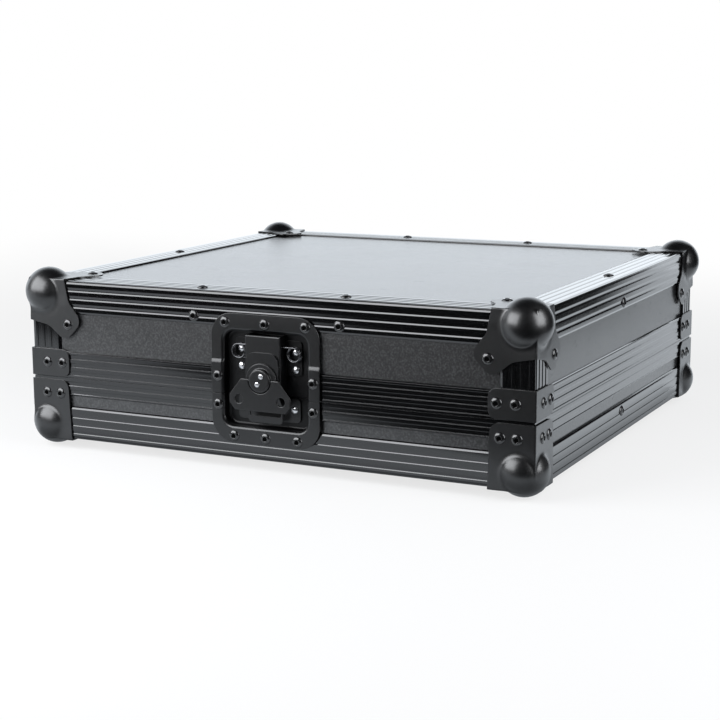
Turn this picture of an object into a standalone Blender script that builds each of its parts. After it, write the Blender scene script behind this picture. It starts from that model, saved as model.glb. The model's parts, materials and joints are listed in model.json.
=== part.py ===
"""Flight case for a mixing desk: plywood panels held in ribbed aluminium edges, steel ball
corners, a tongue and groove closing edge, two stop hinges at the back and one recessed
butterfly latch in the middle of the front.

All sizes below are millimetres, measured from the lower left corner of the front: x runs to
the right, y to the back and z up. The finished model is in metres, and its origin is the
middle of its footprint, on the ground under the feet."""

import math

import bmesh
import bpy
from mathutils import Matrix, Vector

MM = 0.001

# The box, measured over the aluminium edges, and the height where the lid lifts off.
WIDTH = 481.0
DEPTH = 450.0
HEIGHT = 144.0
SPLIT = 56.3
FOOT_DROP = 9.5
GAP = 0.3

# Aluminium edges: an outer and an inner angle joined by a web, with grooves in the outer legs.
LEG = 30.0
SKIN = 1.6
INNER_FROM = 8.6
INNER_TO = 9.9
INNER_LEG = 20.0
GROOVE_PITCH = 7.3
GROOVE_WIDTH = 4.1
GROOVE_DEEP = 0.45
EDGE_SLOPE = 1.6
RAIL_SLOPE = 1.1
POST_SLOPE = 0.7
EDGE_LIP = 2.4
LID_GROOVE = 8.35
BASE_GROOVE = 6.35
POST_GROOVE = 7.3
LID_RAIL_GROOVE = 4.2
BASE_RAIL_GROOVE = 5.6

# Plywood panels sit in the slot between the two angles.
PANEL_OUT = 1.9
PANEL_IN = 8.3
PANEL_EDGE = 10.2

# Closing edges: the lid edge is the taller one, the base edge carries the tongue.
LID_RAIL = 23.7
BASE_RAIL = 16.7
RAIL_WEB = 4.8
TONGUE = 3.5

# Pressed steel plates lie on the aluminium, clear of it by the common gap.
PLATE = 1.2
PLATE_OUT = GAP + PLATE
PLATE_MID = GAP + PLATE / 2

# Ball corners of the lid: ball, three legs, and an ear with one rivet on each face.
LID_BALL = 21.0
LID_BALL_IN = 11.2
CORNER_LEG = 36.8
EAR_NECK = (41.0, 19.5)
EAR_ANGLE = math.radians(50)
EAR_TIP = 64.4

# Ball corners of the base: a larger ball sunk further into a plate as tall as the base.
BASE_BALL = 21.6
BASE_BALL_IN = 13.6
BASE_PLATE_WIDE = 39.4
BASE_PLATE_NARROW = 37.4
BASE_PLATE_TOP = 53.7

# Braces: from just above the closing line to the room that the ball corner's ear needs.
BRACE_REACH = 39.2
BRACE_FOOT = 0.4
BRACE_ROUND = 7.0
EAR_ROOM = 7.35

# Recessed dish of the latch, in two halves that part at the closing line.
DISH_HALF = 52.0
DISH_LOW = 14.5
DISH_HIGH = 126.3
DISH_CORNER = 20.0
MOUTH_HALF = 40.0
MOUTH_LOW = 29.2
MOUTH_HIGH = 111.0
DISH_FLOOR = 6.8
DISH_BACK = 8.0
DISH_GAP = 0.2
STEP_LOW = 83.0
STEP_HIGH = 87.0

# Latch: the rotor turns about the y axis, the wing folds about the x axis on the rotor.
LATCH_Z = 71.8
GROUND = 1.3
GROUND_HALF = 32.0
GROUND_LOW = 75.0
GROUND_HIGH = 105.0
BRIDGE = 1.4
BRIDGE_HALF = 16.8
BRIDGE_FRONT = -5.6
BRIDGE_LOW = 60.0
BRIDGE_TOP = 109.2
DRAW_FRONT = -7.2
DRAW_BACK = -5.95
DRAW_HIP = 15.6
DRAW_HIGH = 95.0
DRAW_HALF = 16.5
DRAW_LOW = 34.0
DRAW_TRAVEL = 4.0
CRANK_HIGH = 57.0
CRANK_LOW = 49.0
CRANK_FRONT = -2.0
CRANK_BACK = -0.75
HOOK_HALF = 15.0
HOOK_LOW = 39.8
HOOK_HIGH = 46.4
KEEPER_HALF = 30.0
KEEPER_LOW = 34.8
KEEPER_ROUND = 3.5
LEDGE_HALF = 14.5
LEDGE_HIGH = 46.0
LEDGE = 2.0
LEDGE_CLEAR = 1.6
COLLAR_RADIUS = 14.5
COLLAR_BACK = 7.6
COLLAR_FRONT = 9.0
BOSS_RADIUS = 10.1
BOSS_FRONT = 13.0
SHAFT_RADIUS = 5.2
SHAFT_CLEAR = 0.35
SLOT_CLEAR = 0.4
WING_Y = -10.8
WING_THICK = 1.8
WING_NOTCH = 10.7
PIN_RADIUS = 1.2
WING_HIP = 18.0
WING_SPAN = 29.3
WING_RISE = 1.2
WING_DROP = 26.3
WING_HOLE = 3.75

# Torsion spring: two coils on one wire, behind the bridge.
WIRE_RADIUS = 0.7
COIL_RADIUS = 6.0
COIL_X = 26.4
COIL_Z = 94.0
COIL_FRONT = -0.6
COIL_TURNS = 2.5
COIL_PITCH = 1.9
CURL_POINTS = 10

# Stop hinges on the back.
HINGE_OUT = 4.0
HINGE_SPREAD = 130.0
HINGE_HALF = 30.0
KNUCKLE_RADIUS = 3.3
KNUCKLE_HALF = 10.0
HINGE_PIN = 1.5
LEAF = 1.5
LEAF_NEAR = 4.0
LEAF_FAR = 38.0
OPEN_ANGLE = math.radians(100)
LUG_THICK = 1.5
REAR_REACH = BOSS_FRONT

# Foam trays inside and rubber feet below.
FOAM_FROM = 10.4
FOAM_WALL = 24.0
FOAM_SLAB = 12.0
FOAM_CORNER = 6.0
FOOT_RADIUS = 19.0
FOOT_IN = 75.0

RIGHT, LEFT = (1, 0, 0), (-1, 0, 0)
BACK, FRONT = (0, 1, 0), (0, -1, 0)
UP, DOWN = (0, 0, 1), (0, 0, -1)

# Each side: the middle of its outer foot, the way along it and the way into the case.
SIDES = {
    "front": ((WIDTH / 2, 0), RIGHT, BACK, WIDTH),
    "right": ((WIDTH, DEPTH / 2), BACK, LEFT, DEPTH),
    "rear": ((WIDTH / 2, DEPTH), LEFT, FRONT, WIDTH),
    "left": ((0, DEPTH / 2), FRONT, RIGHT, DEPTH),
}
CORNERS = {
    "front_left": ((0, 0), RIGHT, BACK),
    "front_right": ((WIDTH, 0), BACK, LEFT),
    "rear_right": ((WIDTH, DEPTH), LEFT, FRONT),
    "rear_left": ((0, DEPTH), FRONT, RIGHT),
}

for old in list(bpy.data.objects):
    bpy.data.objects.remove(old, do_unlink=True)

scene = bpy.context.scene
parts = bpy.data.collections.new("mixer_flight_case")
cutters = bpy.data.collections.new("cutters")
scene.collection.children.link(parts)
scene.collection.children.link(cutters)


# Materials, one for each thing the case is made of.
def material(name, colour, roughness, metallic):
    made = bpy.data.materials.new(name)
    made.use_nodes = True
    shader = made.node_tree.nodes["Principled BSDF"]
    shader.inputs["Base Color"].default_value = (*colour, 1)
    shader.inputs["Roughness"].default_value = roughness
    shader.inputs["Metallic"].default_value = metallic
    made.diffuse_color = (*colour, 1)
    return made


LAMINATE = material("black laminated plywood", (0.035, 0.035, 0.038), 0.55, 0.0)
ANODISED = material("black anodised aluminium", (0.03, 0.03, 0.032), 0.32, 0.6)
COATED = material("black coated steel", (0.025, 0.025, 0.028), 0.35, 0.3)
SPRING = material("blackened spring steel", (0.12, 0.12, 0.125), 0.3, 0.9)
RUBBER = material("black rubber", (0.02, 0.02, 0.02), 0.8, 0.0)
FOAM = material("charcoal foam", (0.045, 0.045, 0.048), 0.95, 0.0)


# Shapes are built in millimetres round their own origin, as loose meshes that the Boolean
# steps use up, and only the finished mesh becomes a part.
def axes(right, up):
    x, y = Vector(right), Vector(up)
    return Matrix((x, y, x.cross(y))).transposed().to_4x4()


def shape(mesh, spot=(0, 0, 0), right=RIGHT, up=BACK):
    made = bpy.data.objects.new("shape", mesh)
    scene.collection.objects.link(made)
    made.matrix_world = Matrix.Translation(Vector(spot) * MM) @ axes(right, up)
    return made


def clean(mesh):
    bm = bmesh.new()
    bm.from_mesh(mesh)
    bmesh.ops.remove_doubles(bm, verts=bm.verts, dist=0.000002)
    bmesh.ops.dissolve_limit(bm, angle_limit=0.002, verts=bm.verts, edges=bm.edges)
    bmesh.ops.recalc_face_normals(bm, faces=bm.faces)
    bm.to_mesh(mesh)
    bm.free()
    return mesh


def box(low, high):
    bm = bmesh.new()
    bmesh.ops.create_cube(bm, size=1)
    low, high = Vector(low), Vector(high)
    for vertex in bm.verts:
        for i in range(3):
            vertex.co[i] = (low[i] + (vertex.co[i] + 0.5) * (high[i] - low[i])) * MM
    mesh = bpy.data.meshes.new("box")
    bm.to_mesh(mesh)
    bm.free()
    return shape(mesh)


def rod(centre, along, radius, length, sides=16):
    """A cylinder whose axis runs along x, y or z."""
    bm = bmesh.new()
    bmesh.ops.create_cone(bm, cap_ends=True, segments=sides, radius1=radius * MM,
                          radius2=radius * MM, depth=length * MM)
    mesh = bpy.data.meshes.new("rod")
    bm.to_mesh(mesh)
    bm.free()
    turned_to = {"x": (BACK, UP), "y": (UP, RIGHT), "z": (RIGHT, BACK)}[along]
    return shape(mesh, centre, *turned_to)


def ball(centre, radius, segments, rings):
    bm = bmesh.new()
    bmesh.ops.create_uvsphere(bm, u_segments=segments, v_segments=rings, radius=radius * MM)
    mesh = bpy.data.meshes.new("ball")
    bm.to_mesh(mesh)
    bm.free()
    return shape(mesh, centre)


def rounded(corners, steps=4):
    """An outline through corners given as (x, y, radius)."""
    outline = []
    for i, (x, y, radius) in enumerate(corners):
        here = Vector((x, y))
        if not radius:
            outline.append((x, y))
            continue
        back = (Vector(corners[i - 1][:2]) - here).normalized()
        ahead = (Vector(corners[(i + 1) % len(corners)][:2]) - here).normalized()
        turn = math.pi - back.angle(ahead)
        centre = here + (back + ahead).normalized() * radius / math.cos(turn / 2)
        start = here + back * radius * math.tan(turn / 2) - centre
        sweep = math.copysign(turn, ahead.x * back.y - ahead.y * back.x)
        for step in range(steps + 1):
            angle = math.atan2(start.y, start.x) + sweep * step / steps
            outline.append((centre.x + radius * math.cos(angle),
                            centre.y + radius * math.sin(angle)))
    return outline


def slab(outline, thickness, spot=(0, 0, 0), right=RIGHT, up=BACK):
    """A flat outline, filled and pushed out both ways by half its thickness."""
    curve = bpy.data.curves.new("outline", "CURVE")
    curve.dimensions = "2D"
    curve.fill_mode = "BOTH"
    curve.extrude = thickness / 2 * MM
    spline = curve.splines.new("POLY")
    spline.points.add(len(outline) - 1)
    for point, (x, y) in zip(spline.points, outline):
        point.co = (x * MM, y * MM, 0, 1)
    spline.use_cyclic_u = True
    drawn = bpy.data.objects.new("outline", curve)
    scene.collection.objects.link(drawn)
    graph = bpy.context.evaluated_depsgraph_get()
    mesh = bpy.data.meshes.new_from_object(drawn.evaluated_get(graph))
    bpy.data.objects.remove(drawn)
    bpy.data.curves.remove(curve)
    return shape(clean(mesh), spot, right, up)


def turned(profile, steps):
    """A profile of (radius, height) points, top to bottom, turned about the z axis."""
    mesh = bpy.data.meshes.new("profile")
    mesh.from_pydata([(r * MM, 0, z * MM) for r, z in profile],
                     [(i, i + 1) for i in range(len(profile) - 1)], [])
    made = shape(mesh)
    screw = made.modifiers.new("turn", "SCREW")
    screw.steps = screw.render_steps = steps
    screw.use_merge_vertices = True
    screw.merge_threshold = 0.00001
    return carve(made)


def carve(target, *steps):
    """Runs (operation, tool) Boolean steps on a shape and returns the finished shape."""
    for operation, tool in steps:
        step = target.modifiers.new(operation.lower(), "BOOLEAN")
        step.operation = operation
        step.solver = "EXACT"
        step.object = tool
    graph = bpy.context.evaluated_depsgraph_get()
    mesh = bpy.data.meshes.new_from_object(target.evaluated_get(graph))
    made = bpy.data.objects.new("shape", clean(mesh))
    scene.collection.objects.link(made)
    made.matrix_world = target.matrix_world.copy()
    for used in (target, *(tool for _, tool in steps)):
        bpy.data.objects.remove(used)
    return made


def soften(made, chosen, width, segments=2):
    """Rounds the straight edges whose two ends both pass the test, given in millimetres."""
    bm = bmesh.new()
    bm.from_mesh(made.data)
    edges = [edge for edge in bm.edges if all(chosen(v.co / MM) for v in edge.verts)]
    bmesh.ops.bevel(bm, geom=edges, offset=width * MM, segments=segments, affect="EDGES",
                    profile=0.5)
    bm.to_mesh(made.data)
    bm.free()
    return made


def finished(made, smooth=False):
    """The mesh of a loose shape, in its own axes, ready for one or more parts."""
    mesh = made.data
    mesh.transform(made.matrix_world)
    bpy.data.objects.remove(made)
    if smooth:
        mesh.shade_smooth()
        mesh.set_sharp_from_angle(angle=math.radians(35))
    return mesh


def world(x, y, z):
    return Vector((x - WIDTH / 2, y - DEPTH / 2, z + FOOT_DROP)) * MM


def joint(name, carrier, x, y, z):
    """An empty on a joint's axis, which the moving pieces hang from."""
    empty = bpy.data.objects.new(name, None)
    empty.empty_display_size = 0.02
    parts.objects.link(empty)
    empty.location = world(x, y, z)
    if carrier:
        empty.parent = carrier
        empty.matrix_parent_inverse = Matrix.Translation(-carrier.location)
    return empty


def part(name, mesh, finish, carrier, spot, right=RIGHT, up=BACK):
    made = bpy.data.objects.new(name, mesh)
    parts.objects.link(made)
    if finish.name not in mesh.materials:
        mesh.materials.append(finish)
    made.parent = carrier
    made.matrix_parent_inverse = Matrix.Translation(-carrier.location)
    made.matrix_basis = Matrix.Translation(world(*spot)) @ axes(right, up)
    return made


base = joint("base", None, WIDTH / 2, DEPTH / 2, 0)
lid = joint("lid_hinge", base, WIDTH / 2, DEPTH + HINGE_OUT, SPLIT)
slide = joint("latch_slide", lid, WIDTH / 2, 0, LATCH_Z)
turn = joint("latch_turn", lid, WIDTH / 2, 0, LATCH_Z)
fold = joint("wing_fold", turn, WIDTH / 2, WING_Y, LATCH_Z)


# The cutter that opens the front panels and edges for the recessed dish.
dish_cut = box((-MOUTH_HALF - 2, -1, MOUTH_LOW - 2), (MOUTH_HALF + 2, 8.75, MOUTH_HIGH + 2))
dish_cut.name = "dish_opening"
dish_cut.location = world(WIDTH / 2, 0, 0)
dish_cut.display_type = "WIRE"
dish_cut.hide_render = True
scene.collection.objects.unlink(dish_cut)
cutters.objects.link(dish_cut)


def open_for_dish(made):
    cut = made.modifiers.new("dish opening", "BOOLEAN")
    cut.operation = "DIFFERENCE"
    cut.solver = "EXACT"
    cut.object = dish_cut
    made.data.update()


# Ribbed aluminium. A section is drawn with x into the case from the outer face.
def ribbed(line, end, lip, first, count, slope):
    """Points (distance, depth) along a grooved face, which slopes in at its end over a lip."""
    for number in range(count):
        middle = first + number * GROOVE_PITCH
        half = GROOVE_WIDTH / 2
        floor = half - slope
        line += [(middle - half, 0), (middle - floor, GROOVE_DEEP),
                 (middle + floor, GROOVE_DEEP), (middle + half, 0)]
    return line + [(end - lip, 0), (end, 0.5)]


def edge_section(first, slope):
    corner = [(0.8, GROOVE_DEEP), (1.5, GROOVE_DEEP), (3.3, 0)]
    leg = ribbed(corner, LEG, EDGE_LIP, first, 3, slope)
    web = 1.2
    near, far = INNER_FROM, INNER_TO
    outer = [(along, deep) for along, deep in reversed(leg)]
    outer += [(deep, along) for along, deep in leg]
    half = [(SKIN, LEG), (SKIN, SKIN + web), (near, near + web), (near, INNER_LEG),
            (far, INNER_LEG)]
    return outer + half + [(far, far)] + [(y, x) for x, y in reversed(half)]


def rail_section(tall, first, count, tongue):
    near, far = INNER_FROM, INNER_TO
    web = RAIL_WEB
    outer = [(deep, along)
             for along, deep in ribbed([(0.15, 0)], tall, 1.2, first, count, RAIL_SLOPE)]
    inner = [(SKIN, tall), (SKIN, web + 1.4), (near, web + 1.4), (near, tall - 4),
             (far, tall - 4), (far, 0.6), (near, 0.6), (near, web)]
    if tongue:
        inner += [(6.0, web), (6.0, -tongue), (4.4, -tongue), (4.4, web)]
    return outer + inner + [(SKIN, web), (SKIN, 0.15)]


def mitred(section, length, least):
    """A length of section whose ends are cut at 45 degrees, none of it nearer than least."""
    made = slab(section, length)
    for vertex in made.data.vertices:
        back = max(vertex.co.x / MM + 0.25, least)
        vertex.co.z = math.copysign((length / 2 - back) * MM, vertex.co.z)
    return finished(made)


for lengths in ("front rear", "left right"):
    length = WIDTH if "front" in lengths else DEPTH
    edge = mitred(edge_section(LID_GROOVE, EDGE_SLOPE), length, 10)
    base_edge = mitred(edge_section(BASE_GROOVE, EDGE_SLOPE), length, 10)
    lid_rail = mitred(rail_section(LID_RAIL, LID_RAIL_GROOVE, 3, 0), length, 0)
    base_rail = mitred(rail_section(BASE_RAIL, BASE_RAIL_GROOVE, 2, TONGUE), length, 0)
    for side in lengths.split():
        (x, y), along, inward, _ = SIDES[side]
        part("lid_edge_" + side, edge, ANODISED, lid, (x, y, HEIGHT), inward, DOWN)
        part("lid_rail_" + side, lid_rail, ANODISED, lid, (x, y, SPLIT), inward, UP)
        low_edge = part("base_edge_" + side, base_edge, ANODISED, base, (x, y, 0), inward, UP)
        low_rail = part("base_rail_" + side, base_rail, ANODISED, base, (x, y, SPLIT),
                        inward, DOWN)
        if side == "front":
            open_for_dish(low_edge)
            open_for_dish(low_rail)
            open_for_dish(bpy.data.objects["lid_rail_front"])

post_low = SPLIT + LID_RAIL + GAP
post_high = HEIGHT - LEG - GAP
post = finished(slab(edge_section(POST_GROOVE, POST_SLOPE), post_high - post_low))


# Plywood panels.
def wall(name, side, carrier, low, high):
    (x, y), along, inward, length = SIDES[side]
    half = length / 2 - PANEL_EDGE
    board = finished(box((-half, PANEL_OUT, low), (half, PANEL_IN, high)))
    made = part(name + side, board, LAMINATE, carrier, (x, y, 0), along, inward)
    if side == "front":
        open_for_dish(made)


def sheet(name, carrier, low, high):
    half_x, half_y = WIDTH / 2 - PANEL_EDGE, DEPTH / 2 - PANEL_EDGE
    board = finished(box((-half_x, -half_y, low), (half_x, half_y, high)))
    part(name, board, LAMINATE, carrier, (WIDTH / 2, DEPTH / 2, 0))


for side in SIDES:
    wall("lid_wall_", side, lid, SPLIT + RAIL_WEB + 1.7, HEIGHT - PANEL_EDGE)
    wall("base_wall_", side, base, PANEL_EDGE, SPLIT - RAIL_WEB - 1.7)
sheet("lid_top_panel", lid, HEIGHT - PANEL_IN, HEIGHT - PANEL_OUT)
sheet("base_floor_panel", base, PANEL_OUT, PANEL_IN)


# Lid ball corner, drawn with the corner of the case at the origin and the case at +x, +y, -z.
neck_x, neck_y = EAR_NECK
reach = (EAR_TIP * math.sqrt(2) - neck_x - neck_y) / (math.cos(EAR_ANGLE)
                                                      + math.sin(EAR_ANGLE))
ear_x = neck_x + reach * math.cos(EAR_ANGLE)
ear_y = neck_y + reach * math.sin(EAR_ANGLE)
leg_side = [(CORNER_LEG, -PLATE_OUT, 0), (neck_x, neck_y, 14), (ear_x, ear_y, 9.5)]
outline = rounded([(-PLATE_OUT, -PLATE_OUT, 0)] + leg_side
                  + [(y, x, radius) for x, y, radius in reversed(leg_side)], 3)


def on_edge(*outer):
    """A test for points that lie on at least two of the given outer planes."""
    def chosen(point):
        return sum(abs(point[axis] - value) < 0.01 for axis, value in outer) > 1
    return chosen


corner = carve(slab(outline, PLATE, (0, 0, PLATE_MID), RIGHT, BACK),
               ("UNION", slab(outline, PLATE, (0, -PLATE_MID, 0), RIGHT, DOWN)),
               ("UNION", slab(outline, PLATE, (-PLATE_MID, 0, 0), BACK, DOWN)))
corner = shape(finished(corner))
soften(corner, on_edge((0, -PLATE_OUT), (1, -PLATE_OUT), (2, PLATE_OUT)), 1.1)
centre = (LID_BALL_IN, LID_BALL_IN, -LID_BALL_IN)
cap = carve(ball(centre, LID_BALL, 20, 12),
            ("DIFFERENCE", box((-0.9, -0.9, -60), (60, 60, 0.9))))
lid_corner = finished(carve(corner, ("UNION", cap),
                            ("DIFFERENCE", ball(centre, LID_BALL - 1.4, 12, 8))), True)


# Base ball corner, drawn with the case at +x, +y, +z. The point of the folded plates is cut
# off where it would stand out of the ball.
low_plate = rounded([(-PLATE_OUT, -PLATE_OUT, 0), (BASE_PLATE_WIDE, -PLATE_OUT, 0),
                     (BASE_PLATE_NARROW, BASE_PLATE_TOP, 8), (-PLATE_OUT, BASE_PLATE_TOP, 0)])
foot_plate = rounded([(-PLATE_OUT, -PLATE_OUT, 0), (BASE_PLATE_WIDE, -PLATE_OUT, 0),
                      (BASE_PLATE_WIDE, BASE_PLATE_WIDE, 6), (-PLATE_OUT, BASE_PLATE_WIDE, 0)])
corner = carve(slab(foot_plate, PLATE, (0, 0, -PLATE_MID), RIGHT, BACK),
               ("UNION", slab(low_plate, PLATE, (0, -PLATE_MID, 0), RIGHT, UP)),
               ("UNION", slab(low_plate, PLATE, (-PLATE_MID, 0, 0), BACK, UP)))
corner = shape(finished(corner))
soften(corner, on_edge((0, -PLATE_OUT), (1, -PLATE_OUT), (2, -PLATE_OUT)), 1.1)
centre = (BASE_BALL_IN, BASE_BALL_IN, BASE_BALL_IN)
near = BASE_BALL_IN - 0.5
beyond = carve(box((-9, -9, -9), (near, near, near)),
               ("DIFFERENCE", ball(centre, BASE_BALL - 0.2, 20, 12)))
corner = carve(corner, ("DIFFERENCE", beyond))
cap = carve(ball(centre, BASE_BALL, 20, 12),
            ("DIFFERENCE", box((-0.9, -0.9, -0.9), (60, 60, 60))))
base_corner = finished(carve(corner, ("UNION", cap),
                             ("DIFFERENCE", ball(centre, BASE_BALL - 1.4, 12, 8))), True)


# Brace: a plate folded round the upright edge of the lid, just above the closing line.
brace_low = SPLIT + BRACE_FOOT
brace_tall = HEIGHT - ear_x - EAR_ROOM - brace_low
brace_round = min(BRACE_ROUND, brace_tall / 3)
strap = rounded([(-PLATE_OUT, 0, 0), (BRACE_REACH, 0, brace_round),
                 (BRACE_REACH, brace_tall, brace_round), (-PLATE_OUT, brace_tall, 0)], 3)
brace = carve(slab(strap, PLATE, (0, -PLATE_MID, 0), RIGHT, UP),
              ("UNION", slab(strap, PLATE, (-PLATE_MID, 0, 0), BACK, UP)))
brace = shape(finished(brace))
soften(brace, on_edge((0, -PLATE_OUT), (1, -PLATE_OUT)), 1.1)
brace = finished(brace)

for name, ((x, y), right, up) in CORNERS.items():
    part("lid_ball_corner_" + name, lid_corner, COATED, lid, (x, y, HEIGHT), right, up)
    part("lid_brace_" + name, brace, COATED, lid, (x, y, brace_low), right, up)
    part("lid_post_" + name, post, ANODISED, lid, (x, y, (post_low + post_high) / 2), right, up)
    part("base_ball_corner_" + name, base_corner, COATED, base, (x, y, 0), right, up)


# Latch dish. Its flange is the front outline cut out of a strip with a step in its side view.
def dish_half(low, high, strip):
    flange_edge = rounded([(DISH_HALF, DISH_LOW, DISH_CORNER), (DISH_HALF, DISH_HIGH, DISH_CORNER),
                           (-DISH_HALF, DISH_HIGH, DISH_CORNER),
                           (-DISH_HALF, DISH_LOW, DISH_CORNER)], 6)
    wide = MOUTH_HALF + PLATE
    well = rounded([(wide, MOUTH_LOW - PLATE, 9), (wide, MOUTH_HIGH + PLATE, 9),
                    (-wide, MOUTH_HIGH + PLATE, 9), (-wide, MOUTH_LOW - PLATE, 9)])
    mouth = rounded([(MOUTH_HALF, MOUTH_LOW, 8), (MOUTH_HALF, MOUTH_HIGH, 8),
                     (-MOUTH_HALF, MOUTH_HIGH, 8), (-MOUTH_HALF, MOUTH_LOW, 8)])
    flange = carve(shape(finished(slab(strip, 2 * DISH_HALF + 2, (0, 0, 0), BACK, UP))),
                   ("INTERSECT", slab(flange_edge, 20, (0, 0, 0), RIGHT, UP)))
    deep = DISH_BACK + 1.0
    pocket = carve(shape(finished(slab(well, deep, (0, DISH_BACK - deep / 2, 0), RIGHT, UP))),
                   ("INTERSECT", box((-60, -20, low), (60, 20, high))))
    hollow = slab(mouth, DISH_FLOOR + 10, (0, (DISH_FLOOR - 10) / 2, 0), RIGHT, UP)
    return finished(carve(flange, ("UNION", pocket), ("DIFFERENCE", hollow)))


line_high, line_low = SPLIT + DISH_GAP, SPLIT - DISH_GAP
upper_strip = [(-0.4, DISH_HIGH + 1), (-0.4, STEP_HIGH), (-1.5, STEP_LOW), (-1.5, line_high),
               (-2.7, line_high), (-2.7, STEP_LOW + 0.2), (-1.6, STEP_HIGH + 0.2),
               (-1.6, DISH_HIGH + 1)]
lower_strip = [(-0.6, DISH_LOW - 1), (-0.6, line_low), (-2.7, line_low), (-2.7, DISH_LOW - 1)]
part("lid_latch_dish", dish_half(line_high, HEIGHT, upper_strip), COATED, lid,
     (WIDTH / 2, 0, 0))
part("base_latch_dish", dish_half(0, line_low, lower_strip), COATED, base, (WIDTH / 2, 0, 0))


# Latch plate: the riveted ground plate and the bridge that carries the rotor.
ground = rounded([(GROUND_HALF, GROUND_LOW, 3), (GROUND_HALF, GROUND_HIGH, 3),
                  (-GROUND_HALF, GROUND_HIGH, 3), (-GROUND_HALF, GROUND_LOW, 3)], 2)
ground_back = DISH_FLOOR - GAP
ground_mid = ground_back - GROUND / 2
ground_front = ground_back - GROUND
inside = BRIDGE_HALF - BRIDGE
across = COIL_Z + COIL_RADIUS
wire_room = WIRE_RADIUS + 1.0
latch_plate = carve(
    shape(finished(slab(ground, GROUND, (0, ground_mid, 0), RIGHT, UP))),
    ("UNION", box((-BRIDGE_HALF, BRIDGE_FRONT, BRIDGE_LOW),
                  (BRIDGE_HALF, ground_mid, BRIDGE_TOP))),
    ("DIFFERENCE", box((-inside, BRIDGE_FRONT + BRIDGE, 0), (inside, ground_front, HEIGHT))),
    ("DIFFERENCE", box((-inside, 0, 0), (inside, DISH_BACK, GROUND_LOW))),
    ("DIFFERENCE", box((-inside, 0, GROUND_HIGH), (inside, DISH_BACK, HEIGHT))),
    ("DIFFERENCE", box((-BRIDGE_HALF - 1, COIL_FRONT - wire_room, across - wire_room),
                       (BRIDGE_HALF + 1, COIL_FRONT + wire_room, across + wire_room))),
    ("DIFFERENCE", rod((0, BRIDGE_FRONT, LATCH_Z), "y", SHAFT_RADIUS + SHAFT_CLEAR, 6, 20)))
part("latch_plate", finished(latch_plate), COATED, lid, (WIDTH / 2, 0, 0))


# Draw plate: cranked towards the case below the bridge, with a slot that hooks the keeper.
crank = [(DRAW_BACK, DRAW_HIGH + 2), (DRAW_BACK, CRANK_HIGH), (CRANK_BACK, CRANK_LOW),
         (CRANK_BACK, DRAW_LOW - 2), (CRANK_FRONT, DRAW_LOW - 2), (CRANK_FRONT, CRANK_LOW + 0.5),
         (DRAW_FRONT, CRANK_HIGH + 0.5), (DRAW_FRONT, DRAW_HIGH + 2)]
arch = rounded([(DRAW_HIP, DRAW_HIGH, 9), (-DRAW_HIP, DRAW_HIGH, 9),
                (-DRAW_HALF, DRAW_LOW, 3), (DRAW_HALF, DRAW_LOW, 3)], 5)
shaft_room = SHAFT_RADIUS + SLOT_CLEAR
slot_low, slot_high = LATCH_Z - shaft_room, LATCH_Z + shaft_room + DRAW_TRAVEL
slot_end = shaft_room - 0.1
shaft_slot = rounded([(shaft_room, slot_low, slot_end), (shaft_room, slot_high, slot_end),
                      (-shaft_room, slot_high, slot_end), (-shaft_room, slot_low, slot_end)], 4)
hook_slot = rounded([(HOOK_HALF, HOOK_LOW, 1.4), (HOOK_HALF, HOOK_HIGH, 1.4),
                     (-HOOK_HALF, HOOK_HIGH, 1.4), (-HOOK_HALF, HOOK_LOW, 1.4)], 3)
wide = 2 * DRAW_HALF + 8
draw_plate = carve(shape(finished(slab(crank, wide, (0, 0, 0), BACK, UP))),
                   ("INTERSECT", slab(arch, wide, (0, 0, 0), RIGHT, UP)),
                   ("DIFFERENCE", slab(shaft_slot, wide, (0, 0, 0), RIGHT, UP)),
                   ("DIFFERENCE", slab(hook_slot, wide, (0, 0, 0), RIGHT, UP)))
draw_plate.location.z -= LATCH_Z * MM
scene.view_layers[0].update()
part("draw_plate", finished(draw_plate), COATED, slide, (WIDTH / 2, 0, LATCH_Z))


# Rotor: boss, collar, shaft and the disc behind the bridge, turned in one piece. It is drawn
# about the z axis and laid down so that its front looks out of the case.
lathe = [(0, BOSS_FRONT), (BOSS_RADIUS - 0.6, BOSS_FRONT), (BOSS_RADIUS, BOSS_FRONT - 0.6),
         (BOSS_RADIUS, COLLAR_FRONT), (COLLAR_RADIUS, COLLAR_FRONT), (COLLAR_RADIUS, COLLAR_BACK),
         (SHAFT_RADIUS, COLLAR_BACK), (SHAFT_RADIUS, 3.8), (9, 3.8), (9, 1.5), (0, 1.5)]
rotor = carve(turned(lathe, 24),
              ("DIFFERENCE", rod((0, 0, -WING_Y), "x", PIN_RADIUS + 0.3, 40, 12)))
part("latch_rotor", finished(rotor, True), COATED, turn, (WIDTH / 2, 0, LATCH_Z), RIGHT, UP)


# Wing: the folding handle, notched round the boss, with its pin across it.
start = math.asin(WING_RISE / WING_NOTCH)
notch = [(WING_NOTCH * math.cos(angle), WING_NOTCH * math.sin(angle))
         for angle in (-math.pi - start + (math.pi + 2 * start) * step / 16
                       for step in range(17))]
half_wing = [(WING_HIP, WING_RISE, 2), (WING_SPAN, 13.2 - WING_DROP, 3),
             (WING_SPAN, 6.4 - WING_DROP, 3), (WING_SPAN - 5.1, -WING_DROP, 3)]
hole_x, hole_z = WING_SPAN - 9.1, 9.8 - WING_DROP
wing_edge = rounded([(x, z, 0) for x, z in notch] + half_wing
                    + [(-x, z, radius) for x, z, radius in reversed(half_wing)], 2)
wing = carve(shape(finished(slab(wing_edge, WING_THICK, (0, 0, 0), RIGHT, UP))),
             ("DIFFERENCE", rod((hole_x, 0, hole_z), "y", WING_HOLE, 10)),
             ("DIFFERENCE", rod((-hole_x, 0, hole_z), "y", WING_HOLE, 10)),
             ("UNION", rod((0, 0, 0), "x", PIN_RADIUS * 0.7, 2 * WING_NOTCH + 3, 8)))
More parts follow.
